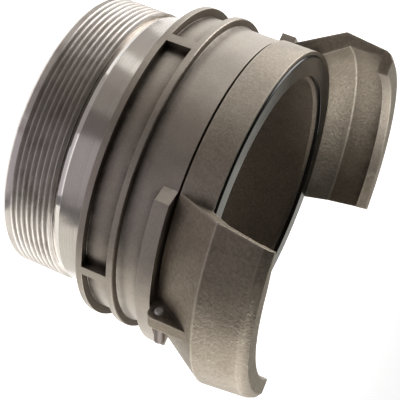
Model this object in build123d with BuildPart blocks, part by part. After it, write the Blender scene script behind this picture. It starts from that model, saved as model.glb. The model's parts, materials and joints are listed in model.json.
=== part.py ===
# Quarter turn fire hose coupling: a symmetrical half coupling with two hooked claws, a rotating
# locking ring with two ramps, a rubber face seal and a male pipe thread.
# It stands on its thread end: the origin is the centre of that face and +Z runs towards the claws.
# Sizes are in millimetres. The claws are centred on +X and -X.
from build123d import *
from math import cos, radians, sin
import os

# Radii, built outwards from the waterway
bore_r = 50.5
spigot_wall = 4.54
thread_depth = 1.48
spigot_step = 0.96
barrel_step = 0.38
ring_play = 0.08
ring_wall = 4.0
rim_height = 3.4
ramp_height = 5.0
flange_step = 0.8
flange_wall = 1.6
seal_lip_wall = 1.5
claw_play = 0.4
hook_play = 2.3
claw_wall = 4.9
claw_tip_wall = 3.1

# Lengths along the axis, built up from the thread end
end_chamfer = 0.75
thread_length = 21.0
relief_width = 1.0
relief_depth = 0.9
cone_length = 2.0
plain_length = 12.2
rim_width = 2.8
channel_width = 10.2
band_length = 10.4
ramp_width = 6.0
ring_gap = 1.0
flange_width = 13.2
seal_depth = 7.0
seal_proud = 0.75
seal_lip_drop = 0.8
lip_chamfer_width = 1.0
lip_chamfer_height = 1.2
lip_width = 5.2

# Claws
claw_half_angle = 40.75
claw_side_lean = 8.3
claw_peak_rise = 19.3
claw_tip_drop = 3.5
hollow_rise = 9.3
claw_nose_wall = 2.2
claw_nose_drop = 1.6
lip_slope = 1.2
lead_in_end_angle = -8.0

# Rib behind each claw, with the pin that crosses it
rib_thickness = 6.0
rib_height = 9.5
rib_corner = 2.6
rib_overlap = 1.5
pin_r = 2.0
pin_play = 0.05
pin_seat_height = 5.4
pin_seat_rise = 3.7
pin_length = 18.5
pin_head_proud = 0.4
pin_chamfer = 0.7

# Locking ring
bar_count = 4
bar_width = 4.2
bar_angle = -2.4
bar_root = 2.0
ramp_start_angle = -43.25
ramp_lead_angle = 4.5
ramp_sweep = 77.5
cut_overrun = 0.3
rim_chamfer = 0.4
foot_height = 0.6
foot_length = 2.0

# Snap ring that keys the locking ring to the barrel, from grooves in both
snap_width = 3.0
snap_height = 2.4
snap_reach = 1.2
snap_play = 0.08
snap_spring_room = 1.0
snap_gap_angle = 8.0

# Seal
seal_play = 0.1
seal_bevel = 0.5

# Radii that follow
thread_root_r = bore_r + spigot_wall
thread_crest_r = thread_root_r + thread_depth
spigot_r = thread_root_r + spigot_step
barrel_r = thread_crest_r + barrel_step
ring_bore_r = barrel_r + ring_play
band_r = ring_bore_r + ring_wall
rim_r = band_r + rim_height
ramp_r = band_r + ramp_height
flange_r = band_r + flange_step
seal_inner_r = bore_r + seal_lip_wall
seal_outer_r = flange_r - flange_wall
lip_r = flange_r + claw_play
hook_r = ramp_r + hook_play
claw_peak_r = hook_r + claw_wall
claw_tip_r = hook_r + claw_tip_wall

# Heights that follow
relief_z = thread_length + relief_width
plain_z = relief_z + cone_length
ring_rear_z = plain_z + plain_length
channel_z = ring_rear_z + rim_width
front_rim_z = channel_z + channel_width
band_z = front_rim_z + rim_width
ramp_rear_z = band_z + band_length
ring_front_z = ramp_rear_z + ramp_width
flange_rear_z = ring_front_z + ring_gap
flange_front_z = flange_rear_z + flange_width
seal_seat_z = flange_front_z - seal_depth
seal_face_z = flange_front_z + seal_proud
snap_z = band_z + band_length / 2
snap_outer_r = ring_bore_r + snap_reach
snap_inner_r = snap_outer_r - snap_height
snap_groove_width = snap_width + 2 * snap_play

# Two halves meet at the seal face, so the ramps of the other half bear on the back of the lip
lip_back_z = 2 * seal_face_z - ramp_rear_z
claw_front_z = lip_back_z + lip_width
claw_peak_z = flange_rear_z + claw_peak_rise
claw_tip_z = claw_front_z - claw_tip_drop
lip_top_z = flange_front_z - seal_lip_drop


def polar(radius, angle):
    return (radius * cos(radians(angle)), radius * sin(radians(angle)))


# Half-plane that contains the axis: local X runs outwards and local Y runs along the axis
def radial_plane(angle):
    return Plane(
        origin=(0, 0, 0),
        x_dir=(cos(radians(angle)), sin(radians(angle)), 0),
        z_dir=(sin(radians(angle)), -cos(radians(angle)), 0),
    )


# One claw: a hooked wall swept round the axis, with a rib behind it that ends inside the wall
wall_root_r = (seal_outer_r + flange_r) / 2
wall_slope = claw_peak_rise / (claw_peak_r - flange_r)
rib_end_z = flange_rear_z + rib_height * wall_slope + rib_overlap
with BuildPart() as claw:
    with BuildSketch(radial_plane(-claw_half_angle - claw_side_lean)):
        with BuildLine():
            Polyline(
                (wall_root_r, flange_rear_z),
                (flange_r, flange_rear_z),
                (claw_peak_r, claw_peak_z),
                (claw_tip_r, claw_tip_z),
                (hook_r + claw_nose_wall, claw_front_z - claw_nose_drop),
                (hook_r, claw_front_z),
                (lip_r, claw_front_z),
                (lip_r, lip_back_z + lip_slope),
                (hook_r, lip_back_z),
                (hook_r, flange_front_z + hollow_rise),
                (flange_r, flange_front_z),
                (wall_root_r, flange_front_z),
                close=True,
            )
        make_face()
    revolve(axis=Axis.Z, revolution_arc=2 * claw_half_angle + claw_side_lean)
    # The leading side leans so that the claw is wider at its root than at its lip
    lean = radians(claw_side_lean)
    side = radians(-claw_half_angle)
    split(
        bisect_by=Plane(
            origin=(claw_peak_r * cos(side), claw_peak_r * sin(side), claw_peak_z),
            z_dir=(-sin(side) * cos(lean), cos(side) * cos(lean), -sin(lean)),
        ),
        keep=Keep.TOP,
    )
    # The lip opens towards the leading side, where the ramp of the other half comes in
    lead_in = Vector(*polar(hook_r, -claw_half_angle))
    lead_out = Vector(*polar(lip_r, lead_in_end_angle))
    with BuildSketch(Plane.XY.offset(lip_back_z - lip_slope)):
        with BuildLine():
            Polyline(
                lead_out,
                lead_in + (lead_in - lead_out) * cut_overrun,
                polar(bore_r, -claw_half_angle - claw_side_lean),
                polar(bore_r, lead_in_end_angle),
                close=True,
            )
        make_face()
    extrude(amount=lip_slope + 2 * lip_width, mode=Mode.SUBTRACT)
    with BuildSketch(Plane.XZ):
        with BuildLine():
            Polyline(
                (wall_root_r, flange_rear_z),
                (flange_r + rib_height, flange_rear_z),
                (flange_r + rib_height, rib_end_z),
                close=True,
            )
        make_face()
        outer = vertices().filter_by_position(Axis.X, flange_r + rib_height, flange_r + rib_height)
        fillet(outer.sort_by(Axis.Y)[0], radius=rib_corner)
    extrude(amount=rib_thickness / 2, both=True)
    with BuildSketch(Plane.XZ):
        with Locations((flange_r + pin_seat_height, flange_rear_z + pin_seat_rise)):
            Circle(pin_r + pin_play)
    extrude(amount=rib_thickness, both=True, mode=Mode.SUBTRACT)

# Body: one casting from the thread end to the claws
with BuildPart() as body:
    with BuildSketch(Plane.XZ):
        with BuildLine():
            Polyline(
                (bore_r, 0),
                (thread_root_r - end_chamfer, 0),
                (thread_root_r, end_chamfer),
                (thread_root_r, thread_length),
                (thread_root_r - relief_depth, thread_length),
                (thread_root_r - relief_depth, relief_z),
                (spigot_r, plain_z),
                (spigot_r, ring_rear_z + rim_width / 2),
                (barrel_r, ring_rear_z + rim_width / 2),
                (barrel_r, flange_rear_z),
                (flange_r, flange_rear_z),
                (flange_r, flange_front_z),
                (seal_outer_r, flange_front_z),
                (seal_outer_r, seal_seat_z),
                (seal_inner_r, seal_seat_z),
                (seal_inner_r, lip_top_z),
                (bore_r + lip_chamfer_width, lip_top_z),
                (bore_r, lip_top_z - lip_chamfer_height),
                close=True,
            )
        make_face()
    revolve(axis=Axis.Z)
    with PolarLocations(0, 2):
        add(claw.part)
    with BuildSketch(Plane.XZ):
        with Locations((barrel_r, snap_z)):
            Rectangle(2 * (barrel_r - snap_inner_r + snap_spring_room), snap_groove_width)
    revolve(axis=Axis.Z, mode=Mode.SUBTRACT)

# Locking ring: two rims with a channel between them, a plain band and two ramps at the front
with BuildPart() as locking_ring:
    with BuildSketch(Plane.XZ):
        with BuildLine():
            Polyline(
                (ring_bore_r, ring_rear_z),
                (rim_r, ring_rear_z),
                (rim_r, channel_z),
                (band_r, channel_z),
                (band_r, front_rim_z),
                (rim_r, front_rim_z),
                (rim_r, band_z),
                (band_r + foot_height, band_z),
                (band_r, band_z + foot_length),
                (band_r, ring_front_z),
                (ring_bore_r, ring_front_z),
                close=True,
            )
        make_face()
        rims = vertices().filter_by_position(Axis.X, rim_r, rim_r).sort_by(Axis.Y)
        chamfer([rims[0], rims[-1]], length=rim_chamfer)
    revolve(axis=Axis.Z)
    # Cross bars in the channel, flush with the rims
    with BuildSketch(Plane.XY.offset(channel_z)):
        with PolarLocations(band_r, bar_count, start_angle=bar_angle):
            Rectangle(2 * (rim_height + bar_root), bar_width)
        Circle(rim_r, mode=Mode.INTERSECT)
        Circle(band_r - bar_root, mode=Mode.SUBTRACT)
    extrude(amount=channel_width)
    # Ramps: each has a sloped lead-in and a square end
    ramp_end_angle = ramp_start_angle + ramp_sweep
    with BuildSketch(Plane.XY.offset(ramp_rear_z)):
        for turn in (0, 180):
            toe = Vector(*polar(band_r, ramp_start_angle + turn))
            shoulder = Vector(*polar(ramp_r, ramp_start_angle + ramp_lead_angle + turn))
            with BuildLine():
                Polyline(
                    toe - (shoulder - toe) * cut_overrun,
                    shoulder + (shoulder - toe) * cut_overrun,
                    polar(2 * ramp_r, ramp_start_angle + ramp_sweep / 2 + turn),
                    polar(2 * ramp_r, ramp_end_angle + turn),
                    (0, 0),
                    close=True,
                )
            make_face()
        Circle(ramp_r, mode=Mode.INTERSECT)
        Circle(band_r - ring_wall / 2, mode=Mode.SUBTRACT)
    extrude(amount=ramp_width)
    with BuildSketch(Plane.XZ):
        with Locations((ring_bore_r, snap_z)):
            Rectangle(2 * (snap_reach + snap_play), snap_groove_width)
    revolve(axis=Axis.Z, mode=Mode.SUBTRACT)

# Snap ring: open, so that it can be squeezed into the barrel while the locking ring goes on
with BuildPart() as snap_ring:
    with BuildSketch(radial_plane(snap_gap_angle / 2)):
        with Locations(((snap_inner_r + snap_outer_r) / 2, snap_z)):
            Rectangle(snap_height, snap_width)
    revolve(axis=Axis.Z, revolution_arc=360 - snap_gap_angle)

# Face seal: fills the front groove and stands proud of the flange
with BuildPart() as face_seal:
    with BuildSketch(Plane.XZ):
        with BuildLine():
            Polyline(
                (seal_inner_r + seal_play, seal_seat_z),
                (seal_outer_r - seal_play, seal_seat_z),
                (seal_outer_r - seal_play, seal_face_z - seal_bevel),
                (seal_outer_r - seal_play - seal_bevel, seal_face_z),
                (seal_inner_r + seal_play, seal_face_z),
                close=True,
            )
        make_face()
    revolve(axis=Axis.Z)

# Pins: one crosses the hole in each rib
pins = {}
for name, side in (("rib_pin_a", 1), ("rib_pin_b", -1)):
    pin_axis = Plane(
        origin=(
            side * (flange_r + pin_seat_height),
            -side * (rib_thickness / 2 + pin_head_proud),
            flange_rear_z + pin_seat_rise,
        ),
        z_dir=(0, side, 0),
    )
    with BuildPart() as rib_pin:
        with BuildSketch(pin_axis):
            Circle(pin_r)
        extrude(amount=pin_length)
        chamfer(rib_pin.edges().filter_by(GeomType.CIRCLE), length=pin_chamfer)
    pins[name] = rib_pin.part

os.makedirs("parts", exist_ok=True)

body.part.label = "body"
export_step(body.part, "parts/body.step")

locking_ring.part.label = "locking_ring"
export_step(locking_ring.part, "parts/locking_ring.step")

snap_ring.part.label = "snap_ring"
export_step(snap_ring.part, "parts/snap_ring.step")

face_seal.part.label = "face_seal"
export_step(face_seal.part, "parts/face_seal.step")

for name, pin in pins.items():
    pin.label = name
    export_step(pin, f"parts/{name}.step")
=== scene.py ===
import json
import math

import bpy
from mathutils import Matrix, Vector

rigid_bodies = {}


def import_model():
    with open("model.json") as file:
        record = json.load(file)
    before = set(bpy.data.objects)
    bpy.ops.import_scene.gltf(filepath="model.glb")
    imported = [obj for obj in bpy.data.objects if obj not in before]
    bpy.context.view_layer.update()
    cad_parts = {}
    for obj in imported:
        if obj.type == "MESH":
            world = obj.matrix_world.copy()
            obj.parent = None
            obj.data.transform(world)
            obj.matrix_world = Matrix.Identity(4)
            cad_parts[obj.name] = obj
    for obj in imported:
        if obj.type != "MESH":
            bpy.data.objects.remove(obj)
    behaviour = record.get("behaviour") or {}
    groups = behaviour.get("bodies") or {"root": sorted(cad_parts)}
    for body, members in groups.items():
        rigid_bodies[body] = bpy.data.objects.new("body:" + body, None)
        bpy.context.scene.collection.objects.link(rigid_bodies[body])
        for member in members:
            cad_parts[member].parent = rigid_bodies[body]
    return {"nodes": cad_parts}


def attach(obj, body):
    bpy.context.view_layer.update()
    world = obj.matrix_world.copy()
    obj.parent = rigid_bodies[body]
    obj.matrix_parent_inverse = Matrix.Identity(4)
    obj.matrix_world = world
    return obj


for leftover in list(bpy.data.objects):  # what Blender starts with
    bpy.data.objects.remove(leftover)

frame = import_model()
bpy.context.view_layer.update()
nodes = frame["nodes"]
scene = bpy.context.scene
print("stage: frame loaded,", len(nodes), "solids")

# camera
cameraSpec = {
    "place": (0.3078, -0.3665, 0.2048),  # metres
    "heading": 129.05,                   # degrees from +X towards +Y
    "tilt": -17.04,
    "roll": 111.85,
    "lens": 114.3,                       # millimetres
    "sensorWidth": 36,
    "clip": (0.01, 20),                  # nearest and farthest, metres
}


def makeCamera(spec):
    camera = bpy.data.objects.new("viewCamera", bpy.data.cameras.new("viewCamera"))
    scene.collection.objects.link(camera)
    turn = Matrix.Rotation(math.radians(spec["heading"] - 90), 4, "Z")
    lift = Matrix.Rotation(math.radians(90 + spec["tilt"]), 4, "X")
    roll = Matrix.Rotation(math.radians(spec["roll"]), 4, "Z")
    camera.matrix_world = Matrix.Translation(Vector(spec["place"])) @ turn @ lift @ roll
    camera.data.sensor_width = spec["sensorWidth"]
    camera.data.lens = spec["lens"]
    camera.data.clip_start, camera.data.clip_end = spec["clip"]
    camera.data.dof.use_dof = False
    scene.camera = camera


makeCamera(cameraSpec)
print("stage: camera set")


# node helpers
def addNode(tree, kind, place, **settings):
    made = tree.nodes.new(kind)
    made.location = place
    for name, value in settings.items():
        setattr(made, name, value)
    return made


# a socket takes a plain value or a link
def feed(tree, socket, value):
    if isinstance(value, (int, float, tuple)):
        socket.default_value = value
    else:
        tree.links.new(value, socket)


def fillSockets(target, values):
    for name, value in values.items():
        target.inputs[name].default_value = value


def startGroup(name, inputs, outputs):
    group = bpy.data.node_groups.new(name, "ShaderNodeTree")
    for socketName, socketType, value in inputs:
        socket = group.interface.new_socket(name=socketName, in_out="INPUT", socket_type=socketType)
        socket.default_value = value
    for socketName, socketType in outputs:
        group.interface.new_socket(name=socketName, in_out="OUTPUT", socket_type=socketType)
    entry = addNode(group, "NodeGroupInput", (-1000, 0))
    leave = addNode(group, "NodeGroupOutput", (900, 0))
    coords = addNode(group, "ShaderNodeTexCoord", (-1000, 300)).outputs["Object"]
    return group, entry.outputs, leave.inputs, coords


def mathNode(tree, operation, place, first, second, clamp=False):
    made = addNode(tree, "ShaderNodeMath", place, operation=operation, use_clamp=clamp)
    feed(tree, made.inputs[0], first)
    feed(tree, made.inputs[1], second)
    return made.outputs[0]


def noiseNode(tree, coords, scale, place, detail=2.0, rough=0.5):
    made = addNode(tree, "ShaderNodeTexNoise", place)
    fillSockets(made, {"Detail": detail, "Roughness": rough})
    feed(tree, made.inputs["Scale"], scale)
    tree.links.new(coords, made.inputs["Vector"])
    return made.outputs["Fac"]


def mixColour(tree, place, factor, first, second, blend="MIX"):
    made = addNode(tree, "ShaderNodeMix", place, data_type="RGBA", blend_type=blend)
    for index, value in ((0, factor), (6, first), (7, second)):
        feed(tree, made.inputs[index], value)
    return made.outputs[2]


def lengthNode(tree, place, first, second):
    sides = addNode(tree, "ShaderNodeCombineXYZ", (place[0] - 150, place[1]))
    tree.links.new(first, sides.inputs[0])
    tree.links.new(second, sides.inputs[1])
    made = addNode(tree, "ShaderNodeVectorMath", place, operation="LENGTH")
    tree.links.new(sides.outputs[0], made.inputs[0])
    return made.outputs["Value"]


# distance from the axis, and height
def roundAxis(tree, coords):
    split = addNode(tree, "ShaderNodeSeparateXYZ", (-850, 300))
    tree.links.new(coords, split.inputs[0])
    return lengthNode(tree, (-550, 300), split.outputs[0], split.outputs[1]), split.outputs[2]


# blasted casting skin: fine dimples, soft patches and a little staining
skinMix = {
    "stainScale": 0.3,           # share of the patches per metre
    "speckScale": 0.7,           # share of the grains per metre
    "stainRange": (0.48, 0.72),  # noise at which staining starts and is full
    "patchRoughness": 0.6,
    "patchHeight": 0.1,
}


def makeBlastedSkin(mix):
    group, given, result, coords = startGroup(
        "blastedSkin",
        [
            ("Tint", "NodeSocketColor", (0.5, 0.46, 0.4, 1)),
            ("Stain", "NodeSocketColor", (0.3, 0.25, 0.2, 1)),
            ("Grains Per Metre", "NodeSocketFloat", 2200.0),
            ("Patches Per Metre", "NodeSocketFloat", 120.0),
            ("Patch Amount", "NodeSocketFloat", 0.3),
            ("Fleck Amount", "NodeSocketFloat", 0.3),
            ("Stain Amount", "NodeSocketFloat", 0.25),
            ("Base Roughness", "NodeSocketFloat", 0.5),
        ],
        [("Colour", "NodeSocketColor"), ("Roughness", "NodeSocketFloat"), ("Height", "NodeSocketFloat")],
    )
    grain = noiseNode(group, coords, given["Grains Per Metre"], (-700, 300), rough=0.6)
    patch = noiseNode(group, coords, given["Patches Per Metre"], (-700, 100), detail=4.0, rough=0.6)
    coarse = mathNode(group, "MULTIPLY", (-850, -100), given["Patches Per Metre"], mix["stainScale"])
    stain = noiseNode(group, coords, coarse, (-700, -100), detail=5.0, rough=0.65)
    fine = mathNode(group, "MULTIPLY", (-850, -300), given["Grains Per Metre"], mix["speckScale"])
    speck = noiseNode(group, coords, fine, (-700, -300))

    spread = addNode(group, "ShaderNodeMapRange", (-450, -100))
    fillSockets(spread, {"From Min": mix["stainRange"][0], "From Max": mix["stainRange"][1]})
    group.links.new(stain, spread.inputs["Value"])
    stainMask = mathNode(group, "MULTIPLY", (-250, -100), spread.outputs[0], given["Stain Amount"])
    stained = mixColour(group, (-50, 0), stainMask, given["Tint"], given["Stain"])

    shade = mathNode(group, "SUBTRACT", (-450, 150), patch, 0.5)
    shade = mathNode(group, "MULTIPLY", (-250, 150), shade, given["Patch Amount"])
    fleck = mathNode(group, "SUBTRACT", (-450, -300), speck, 0.5)
    fleck = mathNode(group, "MULTIPLY", (-250, -300), fleck, given["Fleck Amount"])
    level = mathNode(group, "ADD", (-50, 250), shade, fleck)
    level = mathNode(group, "ADD", (100, 250), level, 1.0)
    grey = addNode(group, "ShaderNodeCombineColor", (250, 250))
    for channel in range(3):
        group.links.new(level, grey.inputs[channel])
    colour = mixColour(group, (450, 150), 1.0, stained, grey.outputs[0], "MULTIPLY")
    group.links.new(colour, result["Colour"])

    rough = mathNode(group, "MULTIPLY", (250, -100), shade, mix["patchRoughness"])
    rough = mathNode(group, "ADD", (400, -100), rough, given["Base Roughness"], True)
    group.links.new(rough, result["Roughness"])
    height = mathNode(group, "MULTIPLY", (250, -300), patch, mix["patchHeight"])
    height = mathNode(group, "ADD", (400, -300), grain, height)
    height = mathNode(group, "ADD", (550, -300), speck, height)
    group.links.new(height, result["Height"])
    return group


# turning marks: rings round the axis, finer and coarser ones together
latheMix = {
    "driftScale": 30.0,           # per metre
    "driftReach": 0.002,          # metres
    "shares": (1.0, 0.31, 0.09),  # of the lines per metre
}


def makeLatheLines(mix):
    group, given, result, coords = startGroup(
        "latheLines",
        [
            ("Lines Per Metre", "NodeSocketFloat", 3000.0),
            ("Waver", "NodeSocketFloat", 0.3),
        ],
        [("Lines", "NodeSocketFloat"), ("Height", "NodeSocketFloat")],
    )
    radius, height = roundAxis(group, coords)
    along = mathNode(group, "ADD", (-250, 350), radius, height)  # works on walls and on end faces
    drift = noiseNode(group, coords, mix["driftScale"], (-700, 0), detail=1.0)
    drift = mathNode(group, "MULTIPLY", (-400, 0), drift, mix["driftReach"])
    drift = mathNode(group, "MULTIPLY", (-250, 0), drift, given["Waver"])
    along = mathNode(group, "ADD", (-100, 200), along, drift)
    total = None
    for index, share in enumerate(mix["shares"]):
        drop = 200 - 200 * index
        scale = mathNode(group, "MULTIPLY", (50, drop), given["Lines Per Metre"], share)
        wave = addNode(group, "ShaderNodeTexNoise", (200, drop), noise_dimensions="1D")
        fillSockets(wave, {"Detail": 1.0, "Roughness": 0.5})
        group.links.new(along, wave.inputs["W"])
        group.links.new(scale, wave.inputs["Scale"])
        line = wave.outputs["Fac"]
        total = line if total is None else mathNode(group, "ADD", (400 + 50 * index, drop), total, line)
    total = mathNode(group, "MULTIPLY", (700, 200), total, 1 / len(mix["shares"]))
    group.links.new(total, result["Lines"])
    group.links.new(total, result["Height"])
    return group


# corner masks: rubbed outer corners, and inner corners darkened as painted shade mixed with grime, both broken
# up
cornerMix = {
    "samples": 8,
    "breakScale": 400.0,  # per metre
    "breakGain": 3.2,
    "grimeScale": 160.0,
    "grimeGain": 3.2,
}


def makeCornerMasks(mix):
    group, given, result, coords = startGroup(
        "cornerMasks",
        [("Corner Width", "NodeSocketFloat", 0.0008), ("Shade And Grime Width", "NodeSocketFloat", 0.004)],
        [("Rubbed", "NodeSocketFloat"), ("Shade And Grime", "NodeSocketFloat")],
    )
    inner = addNode(
        group, "ShaderNodeAmbientOcclusion", (-600, 200), inside=True, only_local=True, samples=mix["samples"])
    outer = addNode(group, "ShaderNodeAmbientOcclusion", (-600, -100), only_local=True, samples=mix["samples"])
    group.links.new(given["Corner Width"], inner.inputs["Distance"])
    group.links.new(given["Shade And Grime Width"], outer.inputs["Distance"])
    broken = noiseNode(group, coords, mix["breakScale"], (-600, 500), detail=3.0)
    rubbed = mathNode(group, "SUBTRACT", (-350, 200), 1.0, inner.outputs["AO"])
    rubbed = mathNode(group, "MULTIPLY", (-150, 300), rubbed, broken)
    rubbed = mathNode(group, "MULTIPLY", (50, 300), rubbed, mix["breakGain"], True)
    # painted shade: darker where the solid's own faces close in round the point, broken up by grime noise
    shadeAndGrime = mathNode(group, "SUBTRACT", (-350, -100), 1.0, outer.outputs["AO"])
    grime = noiseNode(group, coords, mix["grimeScale"], (-600, -350), detail=4.0, rough=0.65)
    grime = mathNode(group, "MULTIPLY", (-350, -350), grime, mix["grimeGain"])
    shadeAndGrime = mathNode(group, "MULTIPLY", (-150, -100), shadeAndGrime, grime, True)
    group.links.new(rubbed, result["Rubbed"])
    group.links.new(shadeAndGrime, result["Shade And Grime"])
    return group


# a thin broken line that runs round the axis at one radius and height
lineMix = {"breakScale": 350.0, "breakGain": 2.4}


def makeRingLine(mix):
    group, given, result, coords = startGroup(
        "ringLine",
        [
            ("Radius", "NodeSocketFloat", 0.07), ("Height", "NodeSocketFloat", 0.09),
            ("Width", "NodeSocketFloat", 0.0008), ("Amount", "NodeSocketFloat", 0.7),
        ],
        [("Mask", "NodeSocketFloat")],
    )
    radius, height = roundAxis(group, coords)
    across = mathNode(group, "SUBTRACT", (-400, 300), radius, given["Radius"])
    along = mathNode(group, "SUBTRACT", (-400, 100), height, given["Height"])
    away = lengthNode(group, (-100, 200), across, along)
    share = mathNode(group, "DIVIDE", (50, 200), away, given["Width"])
    near = mathNode(group, "SUBTRACT", (200, 200), 1.0, share, True)
    broken = noiseNode(group, coords, mix["breakScale"], (50, -50), detail=3.0, rough=0.6)
    broken = mathNode(group, "MULTIPLY", (300, -50), broken, mix["breakGain"])
    near = mathNode(group, "MULTIPLY", (450, 200), near, broken, True)
    near = mathNode(group, "MULTIPLY", (600, 200), near, given["Amount"])
    group.links.new(near, result["Mask"])
    return group


blastedSkin = makeBlastedSkin(skinMix)
latheLines = makeLatheLines(latheMix)
cornerMasks = makeCornerMasks(cornerMix)
ringLine = makeRingLine(lineMix)
print("stage: node groups made")


def startMaterial(name, metallic, specular=0.5):
    material = bpy.data.materials.new(name)
    material.use_nodes = True
    shader = material.node_tree.nodes["Principled BSDF"]
    fillSockets(shader, {"Metallic": metallic, "Specular IOR Level": specular})
    return material, material.node_tree, shader


def placeGroup(tree, group, place, values):
    made = addNode(tree, "ShaderNodeGroup", place, node_tree=group)
    fillSockets(made, values)
    return made.outputs


def addBump(tree, shader, height, distance, strength=1.0):
    bump = addNode(tree, "ShaderNodeBump", (50, -400))
    fillSockets(bump, {"Distance": distance, "Strength": strength})
    tree.links.new(height, bump.inputs["Height"])
    tree.links.new(bump.outputs[0], shader.inputs["Normal"])


castFinish = {
    "tint": (0.40, 0.35, 0.29, 1),
    "stain": (0.22, 0.18, 0.14, 1),
    "rubbedTint": (0.55, 0.50, 0.43, 1),
    "shadeAndGrimeTint": (0.045, 0.037, 0.03, 1),
    "roughness": 0.52,
    "grainsPerMetre": 1500.0,
    "grainDepth": 0.00008,  # metres
    "fleckAmount": 0.7,
    "patchAmount": 0.42,
    "stainAmount": 0.4,
    "rubbedShare": 0.7,
    "cornerWidth": 0.0007,
    "shadeAndGrimeShare": 0.9,
    "shadeAndGrimeWidth": 0.005,
}

ringFinish = {
    "tint": (0.41, 0.365, 0.315, 1),
    "stain": (0.30, 0.255, 0.21, 1),
    "rubbedTint": (0.55, 0.50, 0.44, 1),
    "shadeAndGrimeTint": (0.04, 0.033, 0.027, 1),
    "roughness": 0.44,
    "grainsPerMetre": 2200.0,
    "grainDepth": 0.00004,
    "fleckAmount": 0.4,
    "patchAmount": 0.42,
    "stainAmount": 0.45,
    "rubbedShare": 0.2,
    "cornerWidth": 0.0006,
    "shadeAndGrimeShare": 1.0,
    "shadeAndGrimeWidth": 0.0045,
}

# the claws: a coarser grain of their own, in a darker tint that is painted shade
shadedClawFinish = {
    "tint": (0.315, 0.27, 0.212, 1),
    "stain": (0.16, 0.125, 0.09, 1),
    "rubbedTint": (0.48, 0.43, 0.36, 1),
    "shadeAndGrimeTint": (0.035, 0.028, 0.022, 1),
    "roughness": 0.52,
    "grainsPerMetre": 1100.0,
    "grainDepth": 0.00011,
    "fleckAmount": 0.7,
    "patchAmount": 0.55,
    "stainAmount": 0.4,
    # the claws' rubbed corners are lighter as wear and painted highlight
    "rubbedShare": 1.0,
    "cornerWidth": 0.0011,
    "shadeAndGrimeShare": 0.85,
    "shadeAndGrimeWidth": 0.009,
    "lines": (  # radius, height, half width, amount and colour of lighter lines along the claw edges, wear and painted highlight
        (0.07318, 0.0887, 0.0007, 0.38, (0.72, 0.65, 0.55, 1)),  # worn outer ridge with painted highlight
        (0.07138, 0.106, 0.0006, 0.15, (0.65, 0.59, 0.50, 1)),
        (0.06828, 0.0919, 0.0007, 0.42, (0.76, 0.69, 0.58, 1)),  # worn inner ridge with painted highlight
    ),
}

# a darker copy of the cast finish, as painted shade: for the waterway, the lip and the ring's upward faces
paintedShadeFinish = {
    "tint": (0.19, 0.155, 0.12, 1),
    "stain": (0.10, 0.08, 0.06, 1),
    "rubbedTint": (0.3, 0.26, 0.22, 1),
    "shadeAndGrimeTint": (0.04, 0.03, 0.025, 1),
    "roughness": 0.6,
    "grainsPerMetre": 1500.0,
    "grainDepth": 0.00008,
    "fleckAmount": 0.8,
    "patchAmount": 0.45,
    "stainAmount": 0.35,
    "rubbedShare": 0.2,
    "cornerWidth": 0.0007,
    "shadeAndGrimeShare": 0.5,
    "shadeAndGrimeWidth": 0.003,
}

rubbedSmoothing = 0.15  # how much less rough a rubbed corner is


def makeCastSteel(name, finish):
    material, tree, shader = startMaterial(name, 1.0)
    skin = placeGroup(tree, blastedSkin, (-900, 100), {
        "Tint": finish["tint"], "Stain": finish["stain"], "Base Roughness": finish["roughness"],
        "Grains Per Metre": finish["grainsPerMetre"], "Fleck Amount": finish["fleckAmount"],
        "Patch Amount": finish["patchAmount"], "Stain Amount": finish["stainAmount"],
    })
    corners = placeGroup(tree, cornerMasks, (-900, -300), {
        "Corner Width": finish["cornerWidth"], "Shade And Grime Width": finish["shadeAndGrimeWidth"],
    })
    rubbed = mathNode(tree, "MULTIPLY", (-700, -200), corners["Rubbed"], finish["rubbedShare"])
    colour = mixColour(tree, (-550, 200), rubbed, skin["Colour"], finish["rubbedTint"])
    # painted shade and grime in the corners
    shadeAndGrime = mathNode(tree, "MULTIPLY", (-550, -200), corners["Shade And Grime"], finish["shadeAndGrimeShare"])
    colour = mixColour(tree, (-300, 200), shadeAndGrime, colour, finish["shadeAndGrimeTint"])
    for index, (radius, height, width, amount, lineTint) in enumerate(finish.get("lines", ())):
        line = placeGroup(tree, ringLine, (-300 + 180 * index, 600), {
            "Radius": radius, "Height": height, "Width": width, "Amount": amount,
        })
        colour = mixColour(tree, (-200 + 180 * index, 400), line["Mask"], colour, lineTint)
    tree.links.new(colour, shader.inputs["Base Color"])
    smooth = mathNode(tree, "MULTIPLY", (-550, 0), rubbed, -rubbedSmoothing)
    rough = mathNode(tree, "ADD", (-300, 0), skin["Roughness"], smooth, True)
    tree.links.new(rough, shader.inputs["Roughness"])
    addBump(tree, shader, skin["Height"], finish["grainDepth"])
    return material


turnedFinish = {
    "bright": (0.68, 0.645, 0.60, 1),
    "dull": (0.50, 0.46, 0.42, 1),
    "stain": (0.46, 0.42, 0.38, 1),
    "shadeAndGrimeTint": (0.09, 0.08, 0.07, 1),
    "stainAmount": 0.55,
    "patchAmount": 0.12,
    "patchesPerMetre": 90.0,
    "linesPerMetre": 3000.0,
    "lineDepth": 0.000012,  # metres
    "lineRoughness": 0.12,
    "roughness": 0.15,
    "shadeAndGrimeShare": 0.6,
    "shadeAndGrimeWidth": 0.0022,
}

threadFinish = {
    **turnedFinish,
    "bright": (0.84, 0.795, 0.755, 1),
    "dull": (0.62, 0.575, 0.53, 1),
    "stain": (0.30, 0.25, 0.21, 1),
    "stainAmount": 0.85,
    "patchesPerMetre": 300.0,
    "linesPerMetre": 5000.0,
    "roughness": 0.38,
    "shadeAndGrimeShare": 0.35,
}

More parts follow.
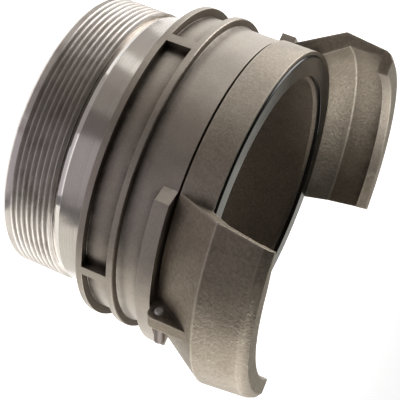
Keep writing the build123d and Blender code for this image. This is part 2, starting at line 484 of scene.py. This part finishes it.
# a paler, glossier copy of the turned finish, as painted highlight
shoulderHighlightFinish = {
    **turnedFinish,
    "bright": (0.92, 0.89, 0.86, 1),
    "dull": (0.80, 0.76, 0.72, 1),
    "stain": (0.80, 0.76, 0.72, 1),
    "stainAmount": 0.5,
    "linesPerMetre": 4000.0,
    "lineDepth": 0.000004,
    "roughness": 0.05,
    "shadeAndGrimeShare": 0.0,
}

# pins and snap ring: a dark copy of the turned finish, as painted shade
shadedPinFinish = {
    **turnedFinish,
    "bright": (0.24, 0.20, 0.18, 1),
    "dull": (0.13, 0.11, 0.10, 1),
    "stain": (0.13, 0.11, 0.10, 1),
    "stainAmount": 0.5,
    "linesPerMetre": 4000.0,
    "lineDepth": 0.000008,
    "roughness": 0.42,
    "shadeAndGrimeShare": 0.3,
}

# pin ends: pale, as rubbed metal and painted highlight
pinEndHighlightFinish = {
    **shadedPinFinish,
    "bright": (0.85, 0.84, 0.81, 1),
    "dull": (0.70, 0.68, 0.64, 1),
    "stain": (0.70, 0.68, 0.64, 1),
    "roughness": 0.5,
}


def makeTurnedSteel(name, finish):
    material, tree, shader = startMaterial(name, 1.0)
    lathe = placeGroup(tree, latheLines, (-900, 100), {"Lines Per Metre": finish["linesPerMetre"]})
    skin = placeGroup(tree, blastedSkin, (-900, -150), {
        "Tint": finish["bright"], "Stain": finish["stain"], "Base Roughness": finish["roughness"],
        "Patches Per Metre": finish["patchesPerMetre"], "Patch Amount": finish["patchAmount"],
        "Stain Amount": finish["stainAmount"],
    })
    corners = placeGroup(tree, cornerMasks, (-900, -500), {"Shade And Grime Width": finish["shadeAndGrimeWidth"]})
    colour = mixColour(tree, (-550, 200), lathe["Lines"], skin["Colour"], finish["dull"])
    # painted shade and grime in the corners
    share = mathNode(tree, "MULTIPLY", (-550, -300), corners["Shade And Grime"], finish["shadeAndGrimeShare"])
    colour = mixColour(tree, (-300, 200), share, colour, finish["shadeAndGrimeTint"])
    tree.links.new(colour, shader.inputs["Base Color"])
    wobble = mathNode(tree, "MULTIPLY", (-550, 0), lathe["Lines"], finish["lineRoughness"])
    rough = mathNode(tree, "ADD", (-300, 0), skin["Roughness"], wobble, True)
    tree.links.new(rough, shader.inputs["Roughness"])
    addBump(tree, shader, lathe["Height"], finish["lineDepth"])
    return material


rubberFinish = {
    "colour": (0.0085, 0.008, 0.0068, 1),
    "dust": (0.028, 0.026, 0.021, 1),
    "dustAmount": 0.35,
    "patchAmount": 0.25,
    "patchesPerMetre": 200.0,
    "grainsPerMetre": 1400.0,
    "grainDepth": 0.00002,  # metres
    "grainStrength": 0.8,
    "roughness": 0.21,
}


def makeRubber(name, finish):
    material, tree, shader = startMaterial(name, 0.0)
    skin = placeGroup(tree, blastedSkin, (-800, 100), {
        "Tint": finish["colour"], "Stain": finish["dust"], "Base Roughness": finish["roughness"],
        "Grains Per Metre": finish["grainsPerMetre"], "Patches Per Metre": finish["patchesPerMetre"],
        "Patch Amount": finish["patchAmount"], "Stain Amount": finish["dustAmount"],
    })
    tree.links.new(skin["Colour"], shader.inputs["Base Color"])
    tree.links.new(skin["Roughness"], shader.inputs["Roughness"])
    addBump(tree, shader, skin["Height"], finish["grainDepth"], finish["grainStrength"])
    return material


castSteel = makeCastSteel("blastedCasting", castFinish)
ringSteel = makeCastSteel("blastedRing", ringFinish)
shadedClawSteel = makeCastSteel("roughShadedClaws", shadedClawFinish)
paintedShadeSteel = makeCastSteel("paintedShadeCasting", paintedShadeFinish)
turnedSteel = makeTurnedSteel("turnedSpigot", turnedFinish)
threadSteel = makeTurnedSteel("turnedThread", threadFinish)
shoulderHighlightSteel = makeTurnedSteel("paintedHighlightShoulder", shoulderHighlightFinish)
shadedDrawnSteel = makeTurnedSteel("shadedDrawnPins", shadedPinFinish)
pinEndHighlightSteel = makeTurnedSteel("rubbedPinEndsAndHighlight", pinEndHighlightFinish)
sealRubber = makeRubber("sealRubber", rubberFinish)
print("stage: materials made")

# what each solid is finished in
solidFinishes = {
    "body": (castSteel, turnedSteel, paintedShadeSteel, shoulderHighlightSteel, shadedClawSteel),
    "locking_ring": (ringSteel, paintedShadeSteel),
    "face_seal": (sealRubber,),
    "snap_ring": (shadedDrawnSteel,),
    "rib_pin_a": (shadedDrawnSteel, pinEndHighlightSteel),
    "rib_pin_b": (shadedDrawnSteel, pinEndHighlightSteel),
}

# where one finish ends on a solid, heights and radii in metres
finishZones = {
    "turnedTop": 0.0363,     # below this height the outside is turned
    "turnedInner": 0.0525,
    "shoulderFrom": 0.0221,  # cone behind the last thread, in a brighter steel as painted highlight
    "shoulderTo": 0.0239,
    "boreOuter": 0.0508,     # the waterway wall lies inside this radius
    "boreTop": 0.0807,
    "lipInner": 0.0513,      # the lip round the waterway is chamfered up to this radius
    "lipOuter": 0.0522,
    "clawInner": 0.0624,     # the claws reach beyond this radius
    "rimShadeTop": 0.058,    # below this height the ring's upward faces take the darker finish as painted shade
    "rimShadeFacing": 0.7,   # least share of the normal that points up
    "pinEndsFacing": 0.5,    # least share of the normal that points along the pin
}


def pickBodyFinish(centre, zones):
    reach = math.hypot(centre.x, centre.y)
    # the shoulder cone takes the brighter steel as painted highlight
    if reach > zones["turnedInner"] and zones["shoulderFrom"] < centre.z < zones["shoulderTo"]:
        return shoulderHighlightSteel
    if reach > zones["turnedInner"] and centre.z < zones["turnedTop"]:
        return turnedSteel
    # the lip round the waterway takes the darker claw and bore finishes as painted shade
    if reach < zones["lipOuter"] and centre.z > zones["boreTop"]:
        return shadedClawSteel if reach > zones["lipInner"] else paintedShadeSteel
    # the claws take the darker claw finish as painted shade
    if reach > zones["clawInner"]:
        return shadedClawSteel
    # the waterway wall takes the darker finish as painted shade
    return paintedShadeSteel if reach < zones["boreOuter"] else castSteel


def pickFinish(name, face, zones):
    if name == "body":
        return pickBodyFinish(face.center, zones)
    if name == "locking_ring":
        # the ring's low upward faces get the darker finish as painted shade
        paintedShadeSide = face.normal.z > zones["rimShadeFacing"] and face.center.z < zones["rimShadeTop"]
        return paintedShadeSteel if paintedShadeSide else ringSteel
    # pin ends take the pale finish, wear and painted highlight; the rest the dark one, painted shade
    return pinEndHighlightSteel if abs(face.normal.y) > zones["pinEndsFacing"] else shadedDrawnSteel


def dressSolids(finishes, zones):
    for name, materials in finishes.items():
        mesh = nodes[name].data
        mesh.materials.clear()
        for material in materials:
            mesh.materials.append(material)
        if len(materials) > 1:
            for face in mesh.polygons:
                face.material_index = materials.index(pickFinish(name, face, zones))


dressSolids(solidFinishes, finishZones)

cornerRounding = {
    "widths": {
        "body": 0.0004, "locking_ring": 0.0002, "face_seal": 0.0002, "rib_pin_a": 0.0008, "rib_pin_b": 0.0008,
    },
    "weldDistance": 0.000002,
    "segments": 2,
    "leastAngle": 32,  # degrees between two faces
}
normalWeight = 80  # how much larger faces lead the shading


def evenShading(piece):
    evened = piece.modifiers.new("evenShading", "WEIGHTED_NORMAL")
    evened.keep_sharp = False
    evened.weight = normalWeight


def roundCorners(spec):
    for name, width in spec["widths"].items():
        weld = nodes[name].modifiers.new("weldSeams", "WELD")
        weld.merge_threshold = spec["weldDistance"]
        bevel = nodes[name].modifiers.new("softCorners", "BEVEL")
        bevel.width = width
        bevel.segments = spec["segments"]
        bevel.limit_method = "ANGLE"
        bevel.angle_limit = math.radians(spec["leastAngle"])
        bevel.use_clamp_overlap = True
        evenShading(nodes[name])


roundCorners(cornerRounding)
print("stage: solids dressed")


def addMesh(name, points, faces):
    mesh = bpy.data.meshes.new(name)
    mesh.from_pydata(points, [], faces)
    made = bpy.data.objects.new(name, mesh)
    scene.collection.objects.link(made)
    return made


def addTurnedPiece(name, points, faces, material):
    piece = addMesh(name, points, faces)
    piece.data.materials.append(material)
    for face in piece.data.polygons:
        face.use_smooth = True
    evenShading(piece)
    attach(piece, "coupling_body")


# male thread on the spigot, right handed
threadSpec = {
    "pitch": 0.002309,
    "root": 0.05507,          # radius
    "crest": 0.05652,
    "crestHalf": 0.09,        # half width of the flat crest, share of the pitch
    "rootStart": 0.41,        # share of the pitch from the crest to the flat root
    "length": 0.021,
    "crestAtFront": 0.00535,  # height of one crest at frontAngle
    "frontAngle": -54.0,      # degrees
    "firstGroove": 0.0034,    # height where the first groove begins
    "runInTurn": 50.0,        # degrees
    "entryRadius": 0.0558,    # radius where the entry chamfer starts
    "entryHeight": 0.0008,
    "columns": 256,
    "rows": 12,               # per pitch
}


# share of the depth over one pitch, crest at phase 0
def threadShape(phase, spec):
    away = abs(phase - round(phase))
    slope = (away - spec["crestHalf"]) / (spec["rootStart"] - spec["crestHalf"])
    return 1 - min(max(slope, 0.0), 1.0)


def makeThread(spec):
    pitch = spec["pitch"]
    columns, rows = spec["columns"], spec["rows"]
    turns = math.ceil(spec["length"] / pitch) + 2
    depth = spec["crest"] - spec["root"]
    start = math.radians(spec["frontAngle"])
    base = spec["crestAtFront"] % pitch - 2 * pitch
    points, faces, grid = [], [], {}
    for row in range(turns * rows + 1):
        phase = row / rows
        groove = round(phase - 0.5) + 0.5  # the groove this row is nearest to
        for column in range(columns):
            turn = column / columns
            height = base + pitch * (phase + turn)
            angle = start + 2 * math.pi * turn
            sinceStart = (base + pitch * (groove + turn) - spec["firstGroove"]) / pitch * 360
            fade = min(max(sinceStart / spec["runInTurn"], 0.0), 1.0)
            radius = spec["crest"] - depth * (1 - threadShape(phase, spec)) * fade
            held = min(max(height, 0.0), spec["length"])
            chamfer = spec["entryRadius"] + (spec["crest"] - spec["entryRadius"]) * held / spec["entryHeight"]
            radius = min(radius, chamfer)
            grid[row, column] = len(points)
            points.append((radius * math.cos(angle), radius * math.sin(angle), held))
    for row in range(turns * rows):
        for column in range(columns):
            if column + 1 < columns:
                right, above = grid[row, column + 1], grid[row + 1, column + 1]
            elif row + rows < turns * rows:
                right, above = grid[row + rows, 0], grid[row + 1 + rows, 0]
            else:
                continue
            corners = [grid[row, column], right, above, grid[row + 1, column]]
            heights = {points[corner][2] for corner in corners}
            if len(heights) > 1 or (heights != {0.0} and heights != {spec["length"]}):
                faces.append(corners)
    addTurnedPiece("maleThread", points, faces, threadSteel)


makeThread(threadSpec)
print("stage: thread cut")

# smooth cone between the last thread and the turned band, in the brighter steel as painted highlight
runOutSpec = {
    "profile": (  # radius and height, from the thread to the band
        (0.05505, 0.02098), (0.05518, 0.0214), (0.05603, 0.02395), (0.0559, 0.0242),
    ),
    "columns": 256,
}


def makeRunOut(spec):
    columns, rings = spec["columns"], len(spec["profile"])
    points, faces = [], []
    for column in range(columns):
        angle = 2 * math.pi * column / columns
        for radius, height in spec["profile"]:
            points.append((radius * math.cos(angle), radius * math.sin(angle), height))
        here, there = column * rings, (column + 1) % columns * rings
        for ring in range(rings - 1):
            faces.append((here + ring, there + ring, there + ring + 1, here + ring + 1))
    addTurnedPiece("runOutCone", points, faces, shoulderHighlightSteel)


makeRunOut(runOutSpec)
print("stage: run-out cone turned")

# floor, lamps and what the metal mirrors
studio = {
    "floorColour": (0.9, 0.9, 0.89, 1),
    "floorRoughness": 0.9,
    "floorSpecular": 0.2,
    "floorHalf": 3.0,       # metres
    "floorDrop": 0.0002,
    "floorLift": 0.86,      # own light of the floor as the camera and reflections see it
    "skyLevel": 0.06,
    "lampAim": (0, 0, 0.05),
    "lamps": {  # power, size, azimuth in degrees, distance and height
        "keyLamp": (6.5, 0.7, -160, 0.8, 0.4),
        "fillLamp": (5.8, 0.8, 60, 0.8, 0.3),
    },
    "tones": {  # colours of the cards
        "cream": (0.95, 0.925, 0.875, 1), "coolStone": (0.62, 0.59, 0.58, 1), "warmStone": (0.62, 0.59, 0.56, 1),
        "sand": (0.50, 0.47, 0.45, 1), "lilac": (0.48, 0.45, 0.485, 1), "ash": (0.44, 0.41, 0.39, 1),
        "mauve": (0.41, 0.385, 0.41, 1), "slate": (0.35, 0.325, 0.31, 1), "iron": (0.31, 0.285, 0.285, 1),
        "lead": (0.29, 0.27, 0.268, 1), "dusk": (0.18, 0.17, 0.18, 1), "coal": (0.17, 0.155, 0.155, 1),
    },
    "cardHeight": 0.0002,
    "cards": (  # from and to in degrees, inner and outer radius, tone
        (-136, -122, 0.1, 2.5, "coolStone"), (-122, -107, 0.1, 0.17, "warmStone"),
        (-96, -82, 0.1, 0.17, "ash"), (-100, -82, 0.17, 2.5, "ash"),
        (-82, -64, 0.0568, 2.5, "slate"), (-64, -48, 0.0568, 0.1, "iron"),
        (-64, -48, 0.1, 0.17, "coal"), (-64, -48, 0.17, 2.5, "lead"),
        (-48, -12, 0.0568, 2.5, "lilac"), (-12, 6, 0.17, 2.5, "mauve"),
        (6, 26, 0.17, 2.5, "dusk"),
        (-150, -100, 0.0568, 0.1, "sand"), (-100, -82, 0.0568, 0.1, "ash"),
        (-12, -6, 0.0568, 0.075, "dusk"), (-12, -9, 0.075, 0.11, "mauve"),
        (-9, 3, 0.075, 0.11, "dusk"), (-12, -3, 0.11, 0.17, "mauve"),
        (-3, 11, 0.11, 0.17, "dusk"), (-6, 60, 0.0568, 0.075, "cream"),
        (3, 60, 0.075, 0.11, "cream"), (11, 60, 0.11, 0.17, "cream"),
        (26, 60, 0.17, 2.5, "cream"),
    ),
    "stripHeight": 0.0004,
    "strips": ((-150, -84, 0.063, 0.0745), (-48, -13, 0.073, 0.079)),  # the same without a tone
    "stripColour": (1.0, 0.99, 0.98, 1),
    "arcSteps": 6,
    "wallAngles": (95, 165),
    "wallRadius": 1.2,
    "wallHeights": (0.15, 0.9),
    "wallColour": (0.88, 0.86, 0.79, 1),
    "wallSteps": 24,
}


def makeFloor(spec):
    half = spec["floorHalf"]
    corners = [(-half, -half, 0), (half, -half, 0), (half, half, 0), (-half, half, 0)]
    floor = addMesh("studioFloor", corners, [(0, 1, 2, 3)])
    floor.location.z = -spec["floorDrop"]
    material, tree, shader = startMaterial("paleFloor", 0.0, spec["floorSpecular"])
    fillSockets(shader, {
        "Base Color": spec["floorColour"], "Roughness": spec["floorRoughness"], "Emission Color": (1, 1, 1, 1),
    })
    path = addNode(tree, "ShaderNodeLightPath", (-700, -200)).outputs
    seen = mathNode(tree, "ADD", (-500, -200), path["Is Camera Ray"], path["Is Glossy Ray"])
    seen = mathNode(tree, "ADD", (-350, -200), seen, path["Is Transmission Ray"], True)
    seen = mathNode(tree, "MULTIPLY", (-200, -200), seen, spec["floorLift"])
    tree.links.new(seen, shader.inputs["Emission Strength"])
    floor.data.materials.append(material)


def atAzimuth(degrees, distance, height):
    turn = math.radians(degrees)
    return Vector((distance * math.cos(turn), distance * math.sin(turn), height))


def makeLamps(spec):
    for name, (power, size, azimuth, distance, height) in spec["lamps"].items():
        lamp = bpy.data.objects.new(name, bpy.data.lights.new(name, "AREA"))
        scene.collection.objects.link(lamp)
        lamp.data.shape = "SQUARE"
        lamp.data.size = size
        lamp.data.energy = power
        lamp.location = atAzimuth(azimuth, distance, height)
        lamp.rotation_euler = (Vector(spec["lampAim"]) - lamp.location).to_track_quat("-Z", "Y").to_euler()
        lamp.visible_camera = False


# a strip along an arc that shines in reflections and nowhere else
def makeShell(name, ends, steps, rims, colour):
    start, end = ends
    points = [
        atAzimuth(start + (end - start) * step / steps, reach, height)
        for step in range(steps + 1) for reach, height in rims
    ]
    faces = [(2 * step, 2 * step + 1, 2 * step + 3, 2 * step + 2) for step in range(steps)]
    shell = addMesh(name, points, faces)
    shell.visible_camera = shell.visible_diffuse = shell.visible_shadow = False
    shell.visible_transmission = shell.visible_volume_scatter = False
    material, tree, shader = startMaterial(name, 0.0, 0.0)
    fillSockets(shader, {"Base Color": (0, 0, 0, 1), "Emission Color": colour, "Emission Strength": 1.0})
    shell.data.materials.append(material)


# cards and strips on the floor round the object
def makeCards(spec):
    low, high = spec["cardHeight"], spec["stripHeight"]
    for index, (start, end, inner, outer, tone) in enumerate(spec["cards"]):
        rims = ((inner, low), (outer, low))
        makeShell("greyCard" + str(index), (start, end), spec["arcSteps"], rims, spec["tones"][tone])
    for index, (start, end, inner, outer) in enumerate(spec["strips"]):
        rims = ((inner, high), (outer, high))
        makeShell("whiteStrip" + str(index), (start, end), spec["arcSteps"], rims, spec["stripColour"])


# pale wall behind the object, clear of the floor
def makeWall(spec):
    rims = [(spec["wallRadius"], height) for height in spec["wallHeights"]]
    makeShell("whiteWall", spec["wallAngles"], spec["wallSteps"], rims, spec["wallColour"])


# dim to everything but the camera, which sees white
def makeSky(spec):
    world = bpy.data.worlds.new("studioWorld")
    world.use_nodes = True
    tree = world.node_tree
    path = addNode(tree, "ShaderNodeLightPath", (-500, 0)).outputs
    shade = mathNode(tree, "MAXIMUM", (-250, 0), path["Is Camera Ray"], spec["skyLevel"])
    tree.links.new(shade, tree.nodes["Background"].inputs["Color"])
    scene.world = world


makeFloor(studio)
makeCards(studio)
makeWall(studio)
makeLamps(studio)
makeSky(studio)
scene.view_settings.view_transform = "Standard"
print("stage: floor and lamps set")

bpy.context.view_layer.update()
